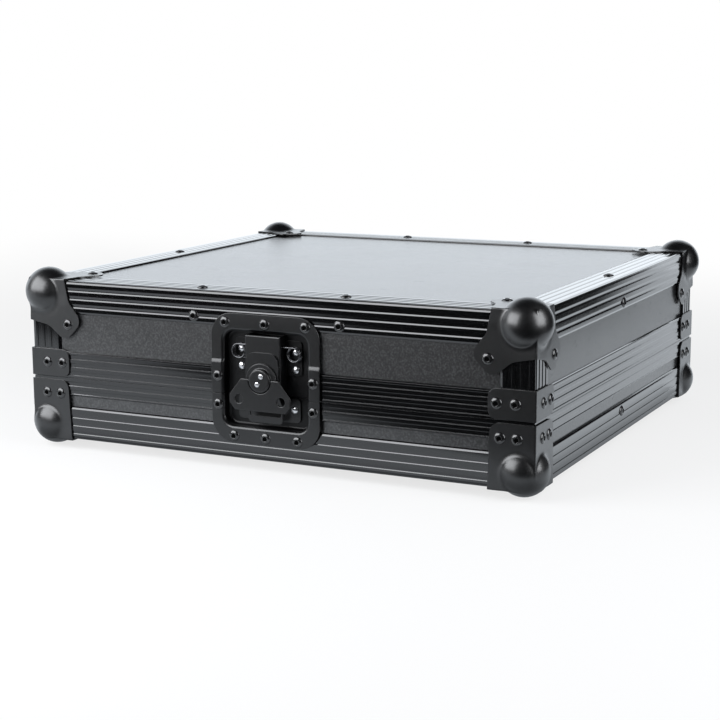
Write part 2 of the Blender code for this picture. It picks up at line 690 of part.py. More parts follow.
part("latch_wing", finished(wing), COATED, fold, (WIDTH / 2, WING_Y, LATCH_Z))


# Keeper: a riveted plate with a ledge that the draw plate pulls on.
keeper_top = SPLIT - 3 * GAP
half_seat = [(KEEPER_HALF, KEEPER_LOW, KEEPER_ROUND), (KEEPER_HALF, keeper_top, 3)]
seat = rounded(half_seat + [(-x, z, radius) for x, z, radius in reversed(half_seat)], 2)
keeper = carve(shape(finished(slab(seat, GROUND, (0, ground_mid, 0), RIGHT, UP))),
               ("UNION", box((-LEDGE_HALF, CRANK_BACK + LEDGE_CLEAR, LEDGE_HIGH - LEDGE),
                             (LEDGE_HALF, ground_mid, LEDGE_HIGH))))
part("latch_keeper", finished(keeper), COATED, base, (WIDTH / 2, 0, 0))


# Spring: one wire that runs across behind the bridge and curls round a rivet at each end.
def spring_path():
    half = [Vector((0, COIL_FRONT, COIL_Z + COIL_RADIUS)),
            Vector((COIL_X - 2, COIL_FRONT, COIL_Z + COIL_RADIUS))]
    count = int(CURL_POINTS * COIL_TURNS)
    for step in range(count + 1):
        angle = math.pi / 2 - 2 * math.pi * step / CURL_POINTS
        half.append(Vector((COIL_X + COIL_RADIUS * math.cos(angle),
                            COIL_FRONT + COIL_PITCH * step / CURL_POINTS,
                            COIL_Z + COIL_RADIUS * math.sin(angle))))
    tail = half[-1]
    half += [tail + Vector((-3, 0.1, 0)), tail + Vector((-6, 0.1, 0))]
    return [Vector((-p.x, p.y, p.z)) for p in reversed(half[1:])] + half


def least_gap(path):
    """The wire's least clearance to itself, between points more than half a curl apart."""
    skip = CURL_POINTS // 2
    near = min((a - b).length for i, a in enumerate(path) for b in path[i + skip:])
    return near - 2 * WIRE_RADIUS


path = spring_path()
print("spring: least gap of the wire to itself %.2f mm" % least_gap(path))
wire = bpy.data.curves.new("latch_spring", "CURVE")
wire.dimensions = "3D"
wire.bevel_depth = WIRE_RADIUS * MM
wire.bevel_resolution = 1
wire.use_fill_caps = True
strand = wire.splines.new("POLY")
strand.points.add(len(path) - 1)
for point, spot in zip(strand.points, path):
    point.co = (*(spot * MM), 1)
wire.materials.append(SPRING)
spring = bpy.data.objects.new("latch_spring", wire)
parts.objects.link(spring)
spring.parent = lid
spring.matrix_parent_inverse = Matrix.Translation(-lid.location)
spring.location = world(WIDTH / 2, 0, 0)


# Stop hinges, drawn with the pin on the x axis, +y away from the case and the lid above.
leaf_y = -HINGE_OUT + GAP
leaf_out = leaf_y + LEAF
leaf_mid = leaf_y + LEAF / 2
leaf = rounded([(HINGE_HALF, LEAF_NEAR, 0), (HINGE_HALF, LEAF_FAR, 5),
                (-HINGE_HALF, LEAF_FAR, 5), (-HINGE_HALF, LEAF_NEAR, 0)], 3)
knuckle = KNUCKLE_HALF - GAP / 2
side_from = KNUCKLE_HALF + GAP / 2
lug_face = -leaf_out - GAP
lug_long = (REAR_REACH - HINGE_OUT + lug_face * math.cos(OPEN_ANGLE)) / math.sin(OPEN_ANGLE)
lug = box((-knuckle, -lug_face, -lug_long), (knuckle, -lug_face + LUG_THICK, -1))
lug.rotation_euler.x = OPEN_ANGLE
lid_leaf = carve(shape(finished(slab(leaf, LEAF, (0, leaf_mid, 0), RIGHT, UP))),
                 ("UNION", box((-knuckle, leaf_y, 0), (knuckle, leaf_out, LEAF_NEAR + 1))),
                 ("UNION", rod((0, 0, 0), "x", KNUCKLE_RADIUS, 2 * knuckle, 16)),
                 ("UNION", lug),
                 ("DIFFERENCE", rod((0, 0, 0), "x", HINGE_PIN + GAP + 0.05, 50, 12)))
lid_leaf = finished(lid_leaf)
side_mid = (side_from + HINGE_HALF) / 2
side_long = HINGE_HALF - side_from
base_leaf = carve(shape(finished(slab(leaf, LEAF, (0, leaf_mid, 0), RIGHT, DOWN))),
                  ("UNION", box((side_from, leaf_y, -LEAF_NEAR - 1), (HINGE_HALF, leaf_out, 0))),
                  ("UNION", box((-HINGE_HALF, leaf_y, -LEAF_NEAR - 1), (-side_from, leaf_out, 0))),
                  ("UNION", rod((side_mid, 0, 0), "x", KNUCKLE_RADIUS, side_long, 16)),
                  ("UNION", rod((-side_mid, 0, 0), "x", KNUCKLE_RADIUS, side_long, 16)),
                  ("UNION", rod((0, 0, 0), "x", HINGE_PIN, 2 * HINGE_HALF - 2, 12)))
base_leaf = finished(base_leaf)
for side, way in (("left", -1), ("right", 1)):
    spot = (WIDTH / 2 + way * HINGE_SPREAD, DEPTH + HINGE_OUT, SPLIT)
    part("hinge_lid_leaf_" + side, lid_leaf, COATED, lid, spot)
    part("hinge_base_leaf_" + side, base_leaf, COATED, base, spot)


# Foam trays: a slab with a raised rim, the base one holding the desk and the lid one over it.
def tray(name, carrier, low, high, slab_low, slab_high):
    half_x, half_y = WIDTH / 2 - FOAM_FROM, DEPTH / 2 - FOAM_FROM
    in_x, in_y = half_x - FOAM_WALL, half_y - FOAM_WALL
    hollow = rounded([(x, y, FOAM_CORNER) for x, y in
                      ((in_x, in_y), (-in_x, in_y), (-in_x, -in_y), (in_x, -in_y))])
    tall = slab_high - slab_low
    block = carve(box((-half_x, -half_y, low), (half_x, half_y, high)),
                  ("DIFFERENCE", slab(hollow, tall, (0, 0, (slab_low + slab_high) / 2))))
    part(name, finished(block), FOAM, carrier, (WIDTH / 2, DEPTH / 2, 0))


tray("base_foam", base, PANEL_EDGE + 0.1, SPLIT - 3, PANEL_EDGE + FOAM_SLAB, SPLIT)
tray("lid_foam", lid, SPLIT + 1, HEIGHT - PANEL_EDGE - 0.1, SPLIT, HEIGHT - PANEL_EDGE - FOAM_SLAB)


# Rubber feet, each with a recess for its screw.
foot_top = PANEL_OUT - GAP
foot = finished(turned([(0, foot_top), (FOOT_RADIUS, foot_top), (FOOT_RADIUS, 0),
                        (FOOT_RADIUS - 2, -FOOT_DROP), (7, -FOOT_DROP), (6, -5), (0, -5)],
                       16), True)
for name, ((x, y), right, up) in CORNERS.items():
    inset = (Vector(right) + Vector(up)) * FOOT_IN
    part("foot_" + name, foot, RUBBER, base, (x + inset.x, y + inset.y, 0), right, up)
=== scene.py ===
import json
import math

import bmesh
import bpy
from mathutils import Matrix, Vector, noise

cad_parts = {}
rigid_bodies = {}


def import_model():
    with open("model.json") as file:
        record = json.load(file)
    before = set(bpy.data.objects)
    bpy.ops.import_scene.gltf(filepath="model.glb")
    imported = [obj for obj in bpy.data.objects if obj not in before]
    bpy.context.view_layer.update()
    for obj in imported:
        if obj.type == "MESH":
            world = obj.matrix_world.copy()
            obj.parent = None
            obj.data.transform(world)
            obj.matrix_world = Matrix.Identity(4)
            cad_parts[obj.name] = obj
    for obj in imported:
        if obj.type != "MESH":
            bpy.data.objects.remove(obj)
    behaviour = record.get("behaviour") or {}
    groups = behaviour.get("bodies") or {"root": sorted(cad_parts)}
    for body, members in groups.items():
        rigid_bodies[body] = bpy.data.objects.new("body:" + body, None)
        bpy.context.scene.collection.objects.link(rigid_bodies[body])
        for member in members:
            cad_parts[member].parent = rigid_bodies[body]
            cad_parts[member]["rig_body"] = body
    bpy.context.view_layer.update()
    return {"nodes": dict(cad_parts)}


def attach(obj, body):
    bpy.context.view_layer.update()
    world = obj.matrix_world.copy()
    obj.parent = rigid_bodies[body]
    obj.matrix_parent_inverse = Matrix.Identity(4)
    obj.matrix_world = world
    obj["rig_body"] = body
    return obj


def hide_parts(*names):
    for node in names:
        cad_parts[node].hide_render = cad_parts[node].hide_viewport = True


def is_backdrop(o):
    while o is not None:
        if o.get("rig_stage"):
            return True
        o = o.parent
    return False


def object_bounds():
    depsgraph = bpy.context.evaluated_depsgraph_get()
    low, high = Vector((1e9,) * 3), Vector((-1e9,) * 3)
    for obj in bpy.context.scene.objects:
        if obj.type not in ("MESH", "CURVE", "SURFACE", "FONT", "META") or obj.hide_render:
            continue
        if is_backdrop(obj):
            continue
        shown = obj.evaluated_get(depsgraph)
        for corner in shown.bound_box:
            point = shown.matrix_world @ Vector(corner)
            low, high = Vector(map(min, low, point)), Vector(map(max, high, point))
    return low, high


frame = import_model()
scene = bpy.context.scene


# Camera: the photograph's view, solved from the straight edges of the case. It stands 1.6 m
# away, 26 degrees round to the right and 10 degrees above the closing line.
YAW, PITCH, ROLL = math.radians(-26.34), math.radians(10.55), math.radians(-0.36)
ahead = Vector((math.sin(YAW) * math.cos(PITCH), math.cos(YAW) * math.cos(PITCH),
                -math.sin(PITCH)))
across = Vector((math.cos(YAW), -math.sin(YAW), 0))
above = across.cross(ahead)
turned_x = across * math.cos(ROLL) + above * math.sin(ROLL)
turned_y = above * math.cos(ROLL) - across * math.sin(ROLL)
lens = bpy.data.cameras.new("camera")
lens.sensor_width = 36
lens.lens = 83.24
camera = bpy.data.objects.new("camera", lens)
scene.collection.objects.link(camera)
camera.matrix_world = (Matrix.Translation((0.68116, -1.42223, 0.35302))
                       @ Matrix((turned_x, turned_y, -ahead)).transposed().to_4x4())
scene.camera = camera
scene.view_settings.view_transform = "Standard"


# Surround: a white studio. What the camera and the glossy faces see as white is not light on the
# case; the even light on it is 0.3 from all round.
class Value:
    """One output of a node. Arithmetic on it adds Math nodes, so that a mask reads as a sum."""

    def __init__(self, nodes, socket):
        self.nodes = nodes
        self.socket = socket

    def sum(self, operation, *terms):
        return self.nodes.add("ShaderNodeMath", {"operation": operation},
                              dict(enumerate(terms)))

    def __add__(self, other):
        return self.sum("ADD", self, other)

    def __sub__(self, other):
        return self.sum("SUBTRACT", self, other)

    def __rsub__(self, other):
        return self.sum("SUBTRACT", other, self)

    def __mul__(self, other):
        return self.sum("MULTIPLY", self, other)

    def __or__(self, other):
        return self.sum("MAXIMUM", self, other)

    __radd__, __rmul__ = __add__, __mul__


class Nodes:
    """A node tree. Every node comes from add: its type, its settings and its sockets."""

    def __init__(self, tree):
        self.tree = tree

    def add(self, kind, settings=None, sockets=None, output=0):
        node = self.tree.nodes.new(kind)
        for name, value in (settings or {}).items():
            if name == "stops":
                for stop in list(node.color_ramp.elements)[1:]:
                    node.color_ramp.elements.remove(stop)
                for number, (place, shade) in enumerate(value):
                    ramp = node.color_ramp.elements
                    stop = ramp[0] if number == 0 else ramp.new(place)
                    stop.position = place
                    stop.color = (*shade, 1)
            else:
                setattr(node, name, value)
        for name, value in (sockets or {}).items():
            self.join(value, node.inputs[name])
        return Value(self, node.outputs[output])

    def join(self, value, socket):
        if isinstance(value, Value):
            self.tree.links.new(value.socket, socket)
        else:
            socket.default_value = value

    def step(self, value, low, high):
        """A smooth step of the value, from 0 at low to 1 at high, or down where high is less."""
        if high < low:
            return 1 - self.step(value, high, low)
        return self.add("ShaderNodeMapRange", {"interpolation_type": "SMOOTHSTEP"},
                        {"Value": value, "From Min": low, "From Max": high})

    def dot(self, vector, direction):
        return self.add("ShaderNodeVectorMath", {"operation": "DOT_PRODUCT"},
                        {0: vector, 1: direction}, output=1)

    def size(self, value):
        return self.add("ShaderNodeMath", {"operation": "ABSOLUTE"}, {0: value})

    def ray(self, number):
        """1 for rays of one kind: 0 from the camera, 3 glossy, 6 through something clear."""
        return self.add("ShaderNodeLightPath", output=number)


INTO, SIDEWAYS, COOL = (-0.4437, 0.8962, 0), (0.8962, 0.4437, 0), (0.88, 0.94, 1, 1)

surround = bpy.data.worlds.new("studio")
surround.use_nodes = True
scene.world = surround
nodes = Nodes(surround.node_tree)
toward = nodes.add("ShaderNodeTexCoord")
ahead_of_camera = nodes.dot(toward, INTO)
aside = nodes.dot(toward, SIDEWAYS)
rising = nodes.dot(toward, (0, 0, 1))
backdrop = (nodes.step(ahead_of_camera - (aside * 1.5 | aside * -0.6), -0.12, 0.08)
            * nodes.step(rising, 0.8, 0.4))
shown = nodes.ray(0) | nodes.ray(6)
mirrored = nodes.ray(3) * (backdrop * 1.32 + 0.01)
lit = (1 - (nodes.ray(3) | shown)) * 0.3
sky = nodes.add("ShaderNodeBackground", None, {"Color": COOL, "Strength": mirrored + lit})
white = nodes.add("ShaderNodeBackground", None, {"Color": (1, 1, 1, 1), "Strength": 1})
both = nodes.add("ShaderNodeMixShader", None, {0: shown, 1: sky, 2: white})
nodes.join(both, surround.node_tree.nodes["World Output"].inputs["Surface"])


def sheet_of(name, corners, covering):
    """A flat stage piece through four corners, and the node tree of what covers it."""
    mesh = bpy.data.meshes.new(name)
    mesh.from_pydata(corners, [], [(0, 1, 2, 3)])
    made = bpy.data.objects.new(name, mesh)
    scene.collection.objects.link(made)
    material = bpy.data.materials.new(covering)
    material.use_nodes = True
    mesh.materials.append(material)
    return made, Nodes(material.node_tree), material.node_tree.nodes["Material Output"]


# Table: white paper under the case. The glossy faces don't mirror the lit paper but a painted
# glow:
# a patch near the case, with painted shadow where it meets the case. The camera sees the paper
# white, a little darker close by, where less glow lies over its lit face.
TABLE = 6.0
table, nodes, output = sheet_of(
    "table", [(-TABLE, -TABLE, 0), (TABLE, -TABLE, 0), (TABLE, TABLE, 0), (-TABLE, TABLE, 0)],
    "white paper")
table.location.z = -0.0002
spot = nodes.add("ShaderNodeTexCoord", output=3)
left_to_right = nodes.dot(spot, (1, 0, 0))
front_to_back = nodes.dot(spot, (0, 1, 0))
beside = (nodes.step(left_to_right, 0.51, 0.485)
          | nodes.step(front_to_back - left_to_right * 3.19, -0.9, -0.64))
away = (nodes.size(left_to_right) - 0.24) | (nodes.size(front_to_back) - 0.225)
deep = nodes.dot(spot, INTO)
# Painted reflection: what glossy rays see of the table, dimmed to 0.3 against the case as painted
# shadow.
painted_reflection_patch = (nodes.step(deep, -0.41, -0.345) * beside
         * (nodes.step(away, 0, 0.05) * 0.56 + 0.3))
matt = nodes.add("ShaderNodeBsdfDiffuse", None, {"Color": (0.8, 0.8, 0.8, 1)})
glow = nodes.add("ShaderNodeEmission", None, {"Color": (1, 1, 1, 1), "Strength": 1})
# The painted glow that only glossy rays see on the table, in place of the lit paper.
shade = nodes.add("ShaderNodeEmission", None, {"Color": COOL, "Strength": painted_reflection_patch + 0.01})
shown = (nodes.ray(0) | nodes.ray(6)) * (nodes.step(away, 0.1, 1.2) * 0.25 + 0.75)
both = nodes.add("ShaderNodeMixShader", None, {0: shown, 1: matt, 2: glow})
both = nodes.add("ShaderNodeMixShader", None, {0: nodes.ray(3), 1: both, 2: shade})
nodes.join(both, output.inputs["Surface"])
table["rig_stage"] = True


# Card: a panel behind the case that glows, casts no light and shows only in reflections. The thin
# bright lines it puts on the right side's grooves are painted reflections.
card, nodes, output = sheet_of(
    "card", [(0, 1.2, 0), (0.6, 1.2, 0), (0.6, 1.2, 0.42), (0, 1.2, 0.42)], "card glowing for reflections")
glow = nodes.add("ShaderNodeEmission", None, {"Color": COOL, "Strength": 1.2})
nodes.join(glow, output.inputs["Surface"])
for kind in ("camera", "diffuse", "transmission", "volume_scatter", "shadow"):
    setattr(card, "visible_" + kind, False)
card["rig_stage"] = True


# Soft boxes: two large lamps that face the case, one on each side of the camera. They light it a
# little cool, and the balls and the coated faces mirror them.
def soft_box(name, spot, wide, tall, power):
    """A lamp that faces the case and that the camera doesn't see."""
    lamp = bpy.data.lights.new(name, "AREA")
    lamp.shape = "RECTANGLE"
    lamp.size, lamp.size_y = wide, tall
    lamp.energy = power
    lamp.color = (0.95, 0.97, 1.0)
    made = bpy.data.objects.new(name, lamp)
    scene.collection.objects.link(made)
    made.location = spot
    made.rotation_euler = (Vector(spot) - Vector((0, 0, 0.08))).to_track_quat("Z", "Y").to_euler()
    made.visible_camera = False


soft_box("box_left", (-0.49, -0.74, 0.48), 0.95, 0.66, 10.8)
soft_box("box_right", (1.12, -0.33, 0.54), 0.75, 0.9, 11.7)


# Plywood panels: 6 mm boards faced with a black laminate of a fine pebbled grain. Each is held
# in the slot of the aluminium round it, so that only its face shows.
WIDTH, DEPTH, HEIGHT, SPLIT = 481.0, 450.0, 144.0, 56.3
MM = 0.001


def at(x, y, z):
    """A point in millimetres from the case's lower left front corner, in the model's frame."""
    return Vector((x - WIDTH / 2, y - DEPTH / 2, z + 9.5)) * MM


class Finish(Nodes):
    """A material: fixed values stand on its shader, what varies is painted on."""

    def __init__(self, name, slot, **fixed):
        self.material = bpy.data.materials.new(name)
        self.material.use_nodes = True
        super().__init__(self.material.node_tree)
        self.slot = slot
        self.shader = self.tree.nodes["Principled BSDF"]
        for socket, value in fixed.items():
            self.shader.inputs[socket.replace("_", " ")].default_value = value
        self.place = self.add("ShaderNodeTexCoord", output=3)

    def paint(self, socket, value):
        self.join(value, self.shader.inputs[socket])

    def stretched(self, *scale):
        return self.add("ShaderNodeVectorMath", {"operation": "MULTIPLY"},
                        {0: self.place, 1: scale})

    def cloud(self, scale, detail=3.0, place=None):
        return self.add("ShaderNodeTexNoise", None, {"Vector": place or self.place,
                                                     "Scale": scale, "Detail": detail})

    def shade(self, mask, *stops):
        return self.add("ShaderNodeValToRGB", {"stops": stops}, {"Fac": mask})

    def relief(self, height, depth, strength=1.0):
        bump = self.add("ShaderNodeBump", None, {"Height": height, "Distance": depth,
                                                 "Strength": strength})
        self.paint("Normal", bump)


def grey(level, blue=1.0):
    return (level, level, level * blue)


laminate = Finish("black grained laminate", "laminate", Coat_Weight=1.0, Coat_Roughness=0.22,
                  Coat_IOR=1.65)
pebbles = laminate.cloud(620, 3)
patches = laminate.cloud(14, 4)
scuffs = laminate.step(laminate.cloud(60, 6, laminate.stretched(1, 1, 3)), 0.62, 0.72)
laminate.paint("Base Color", laminate.shade(
    pebbles, (0.36, grey(0.002, 1.05)), (0.5, grey(0.009, 1.06)), (0.66, grey(0.028, 1.05))))
laminate.paint("Roughness", pebbles * 0.2 + patches * 0.1 + scuffs * 0.08 + 0.3)
laminate.relief(pebbles + laminate.cloud(2100, 2) * 0.5, 0.0004, 0.6)


def settle(made):
    """Runs the modifiers of a piece and leaves their result as its mesh."""
    graph = bpy.context.evaluated_depsgraph_get()
    graph.update()
    made.data = bpy.data.meshes.new_from_object(made.evaluated_get(graph))
    made.modifiers.clear()
    return made


def ease(made, width, segments=2, angle=28):
    """Rounds the sharp edges of a piece and evens out its shading."""
    if width:
        bevel = made.modifiers.new("ease", "BEVEL")
        bevel.width = width * MM
        bevel.segments = segments
        bevel.limit_method = "ANGLE"
        bevel.angle_limit = math.radians(angle)
    made.data.shade_smooth()
    made.modifiers.new("shading", "WEIGHTED_NORMAL").keep_sharp = True
    return settle(made)


def piece(name, mesh, finish, body, *nodes, matrix=None):
    """Sets a mesh on a body with a finish, in place of the CAD nodes that it stands for."""
    made = bpy.data.objects.new(name, mesh)
    scene.collection.objects.link(made)
    if matrix is not None:
        made.matrix_world = matrix
    if finish.material.name not in mesh.materials:
        mesh.materials.clear()
        mesh.materials.append(finish.material)
    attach(made, body)
    if nodes:
        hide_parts(*nodes)
    return made


def dressed(node, width, finish, choose=None, wide=0.0, angle=28, shape=None):
    """A copy of a CAD piece with eased edges. The chosen edges are rounded first, and wider."""
    bm = bmesh.new()
    bm.from_mesh(frame["nodes"][node].data)
    bmesh.ops.remove_doubles(bm, verts=bm.verts, dist=0.000002)
    bmesh.ops.dissolve_limit(bm, angle_limit=0.004, verts=bm.verts, edges=bm.edges)
    if shape:
        shape(bm)
    if choose:
        picked = [edge for edge in bm.edges if all(choose(v.co) for v in edge.verts)]
        bmesh.ops.bevel(bm, geom=picked, offset=wide * MM, segments=4, affect="EDGES",
                        profile=0.5, clamp_overlap=True)
    mesh = bpy.data.meshes.new(node)
    bm.to_mesh(mesh)
    bm.free()
    body = frame["nodes"][node]["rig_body"]
    return ease(piece(node + "_made", mesh, finish, body, node), width, 2, angle)


for node in ("lid_top_panel", "lid_wall_front", "lid_wall_rear", "lid_wall_left",
             "lid_wall_right", "base_floor_panel", "base_wall_front", "base_wall_rear",
             "base_wall_left", "base_wall_right"):
    dressed(node, 0.15, laminate)


# Aluminium edges: extruded double angles with three grooves in each outer leg, anodised black.
# They run round the lid, the base and the closing line, and up the four corners of the lid.
def anodised(name, *run):
    """The die leaves faint lines along the extrusion, so its grain is stretched that way."""
    made = Finish(name, "anodised", Coat_Weight=1.0, Coat_Roughness=0.07)
    lines = made.cloud(1, 4, made.stretched(*run))
    haze = made.cloud(22, 4)
    made.paint("Base Color", made.shade(
        lines, (0.3, grey(0.0015, 1.1)), (0.7, grey(0.004, 1.08))))
    made.paint("Roughness", lines * 0.08 + haze * 0.04 + 0.05)
    made.relief(lines, 0.00004, 0.3)
    return made


along_x = anodised("anodised along the width", 7, 1400, 1400)
along_y = anodised("anodised along the depth", 1400, 7, 1400)
along_z = anodised("anodised along the height", 1400, 1400, 7)


def grooved(up, down, across, lip, deep):
    """Redraws the sides of the grooves: those that face up, those that face down, and those of
    grooves that lie flat or stand upright. The first number scales a side's width, the second
    moves its outer edge inward. lip scales the slope at the end of a face, and deep the depth of
    a groove, with its cube for those that lie flat or stand upright."""
    centre, half = at(WIDTH / 2, DEPTH / 2, HEIGHT / 2), Vector((WIDTH, DEPTH, HEIGHT)) * MM / 2

    def depth(vertex):
        return min(half[i] - abs(vertex.co[i] - centre[i]) for i in range(3)) / MM

    def shape(bm):
        moves = {}
        for edge in bm.edges:
            outer, inner = sorted(edge.verts, key=depth)
            run = inner.co - outer.co
            axis = max(range(3), key=lambda i: abs(run[i]))
            if depth(outer) > 0.05 or not 0.4 < depth(inner) < 0.52:
                continue
            if not 0.6 < run.length / MM < 2.6:
                continue
            share, shift, deeper = *(up if run.z > 0 else down), deep
            if axis < 2:
                share, shift, deeper = *across, deep ** 3
            if depth(inner) > 0.48:
                share, shift, deeper = lip, 0, 1
            elif run.length / MM > 1.75:
                share, shift, deeper = 1, 0.2, 1
            moves[inner] = [run[i] * ((share if i == axis else deeper) - 1) for i in range(3)]
            moves[outer] = [run[i] * shift * (i == axis) for i in range(3)]
        for vertex, move in moves.items():
            vertex.co += Vector(move)
    return shape


thin = grooved((0.4, 0), (0.4, 0), (0.4, 0), 0.4, 1)
for kind, width, shape in (
        ("lid_edge_", 0.2, grooved((1, 0.31), (1.12, -0.14), (1, 0), 0.6, 0.73)),
        ("base_edge_", 0.2, grooved((0.75, 0.31), (1.31, -0.19), (1, 0), 0.6, 0.73)),
        ("lid_rail_", 0.1, thin), ("base_rail_", 0.1, thin)):
    for side in ("front", "rear"):
        dressed(kind + side, width, along_x, angle=9, shape=shape)
    for side in ("left", "right"):
        dressed(kind + side, width, along_y, angle=9, shape=shape)
for corner in ("front_left", "front_right", "rear_right", "rear_left"):
    dressed("lid_post_" + corner, 0.06, along_z, angle=9, shape=thin)


# Pop rivets hold the edges to the panels: black domed heads, each with the hole of its mandrel.
# They are set from outside, and the mandrel breaks off inside the head.
RIVET = 4.9


def lathe(profile, steps=32):
    """A closed mesh turned about the z axis from (radius, height) points in millimetres."""
    bm = bmesh.new()
    rings = []
    for radius, height in profile:
        if radius < 0.001:
            rings.append([bm.verts.new((0, 0, height * MM))])
        else:
            rings.append([bm.verts.new((radius * MM * math.cos(2 * math.pi * step / steps),
                                        radius * MM * math.sin(2 * math.pi * step / steps),
                                        height * MM)) for step in range(steps)])
    for low, high in zip(rings, rings[1:]):
        for step in range(steps):
            after = (step + 1) % steps
            face = [low[step % len(low)], low[after % len(low)],
                    high[after % len(high)], high[step % len(high)]]
            face = list(dict.fromkeys(face))
            if len(face) > 2:
                bm.faces.new(face)
    bmesh.ops.recalc_face_normals(bm, faces=bm.faces)
    mesh = bpy.data.meshes.new("turned")
    bm.to_mesh(mesh)
    bm.free()
    mesh.shade_smooth()
    mesh.set_sharp_from_angle(angle=math.radians(50))
    return mesh


def standing(spot, out):
    """The matrix that stands a turned piece on a spot in millimetres, its axis pointing out."""
    return Matrix.Translation(at(*spot)) @ Vector(out).to_track_quat("Z", "Y").to_matrix().to_4x4()


def gathered(name, mesh, matrices, finish, body, *nodes):
    """Copies of one small mesh joined into a single piece."""
    bm = bmesh.new()
    for matrix in matrices:
        copy = mesh.copy()
        copy.transform(matrix)
        bm.from_mesh(copy)
        bpy.data.meshes.remove(copy)
    joined = bpy.data.meshes.new(name)
    joined.materials.append(finish.material)
    if mesh == rivet_head:
        joined.materials.append(painted_shade_hole.material)
    bm.to_mesh(joined)
    bm.free()
    return piece(name, joined, finish, body, *nodes)


black_rivet = Finish("black rivet", "coated_steel", Roughness=0.25, Coat_Weight=1.0,
                     Coat_Roughness=0.1)
dust = black_rivet.cloud(500, 3)
black_rivet.paint("Base Color", black_rivet.shade(
    dust, (0.35, grey(0.003)), (0.75, grey(0.012, 1.05))))

rivet_head = lathe([(0, -0.4), (RIVET, -0.4), (RIVET, 0.12), (RIVET * 0.97, 0.36),
                    (RIVET * 0.88, 0.8), (RIVET * 0.72, 1.22), (RIVET * 0.56, 1.45),
                    (RIVET * 0.46, 1.47), (RIVET * 0.41, 1.38), (RIVET * 0.38, 1.0),
                    (0, 0.9)])
# Painted shade: the inside of each rivet's hole has its own finish, darkest in colour and with no
# reflection, so that it reads black.
painted_shade_hole = Finish("rivet hole in painted shade", "coated_steel", Specular_IOR_Level=0.0)
painted_shade_hole.paint("Base Color", painted_shade_hole.shade(
    painted_shade_hole.cloud(900, 2), (0.3, grey(0.001)), (0.7, grey(0.003))))
for face in rivet_head.polygons:
    face.material_index = int(math.hypot(*face.center[:2]) < RIVET * 0.4 * MM
                              and face.center.z > 0)
TOP, BOTTOM = HEIGHT, 0.0
FACES = {"front": (0, -1, 0), "rear": (0, 1, 0), "left": (-1, 0, 0), "right": (1, 0, 0)}


def on_face(side, along, high, proud=0.0):
    """A spot on an outer side: the way along it from the left or front, and the height."""
    return {"front": (along, -proud, high), "rear": (along, DEPTH + proud, high),
            "left": (-proud, along, high), "right": (WIDTH + proud, along, high)}[side]


lid_spots = [standing((x, y, TOP), (0, 0, 1))
             for x in (171.6, 309.6) for y in (14.0, DEPTH - 14.0)]
lid_spots += [standing((x, DEPTH / 2, TOP), (0, 0, 1)) for x in (15.0, WIDTH - 15.0)]
base_spots = [standing((x, y, BOTTOM), (0, 0, -1))
              for x in (171.6, 309.6) for y in (14.0, DEPTH - 14.0)]
for side in ("front", "rear"):
    lid_spots += [standing(on_face(side, x, 121), FACES[side]) for x in (170.5, 310.0)]
base_spots += [standing(on_face("rear", x, 21.7), FACES["rear"]) for x in (170.5, 310.0)]
for side in ("left", "right"):
    lid_spots.append(standing(on_face(side, DEPTH / 2, 120.7), FACES[side]))
    base_spots.append(standing(on_face(side, DEPTH / 2, 21.7), FACES[side]))
gathered("rivets_lid_edges", rivet_head, lid_spots, black_rivet, "lid")
gathered("rivets_base_edges", rivet_head, base_spots, black_rivet, "base")


# Ball corners: one pressing of 1.2 mm steel over each corner, with a ball that flares into three
# plates. The lid's have a leg along each edge and an ear with a rivet on each face.
PLATE, GAP = 1.2, 0.3
PLATE_OUT = GAP + PLATE
ROOT = 1.6


def steel(name, **fixed):
    """Powder coated steel: orange peel in the coat, and rubbed marks."""
    made = Finish(name, "coated_steel", Coat_Roughness=0.27, **fixed)
    peel = made.cloud(320, 3)
    marks = made.step(made.cloud(45, 7), 0.6, 0.7)
    made.paint("Base Color", made.shade(
        peel * 0.7 + marks * 0.3, (0.3, grey(0.001, 1.3)), (0.8, grey(0.003, 1.3))))
    made.paint("Roughness", peel * 0.1 + marks * 0.08 + 0.34)
    made.relief(peel, 0.00008, 0.5)
    return made


coated = steel("black coated steel", Coat_Weight=1.0)


def rounded(corners, steps=8):
    """An outline through corners given as (x, y, radius)."""
    outline = []
    for i, (x, y, radius) in enumerate(corners):
        here = Vector((x, y))
        if not radius:
            outline.append((x, y))
            continue
        back = (Vector(corners[i - 1][:2]) - here).normalized()
        onward = (Vector(corners[(i + 1) % len(corners)][:2]) - here).normalized()
        turn = math.pi - back.angle(onward)
        centre = here + (back + onward).normalized() * radius / math.cos(turn / 2)
        start = here + back * radius * math.tan(turn / 2) - centre
        sweep = math.copysign(turn, onward.x * back.y - onward.y * back.x)
        for step in range(steps + 1):
            angle = math.atan2(start.y, start.x) + sweep * step / steps
            outline.append((centre.x + radius * math.cos(angle),
                            centre.y + radius * math.sin(angle)))
    return outline


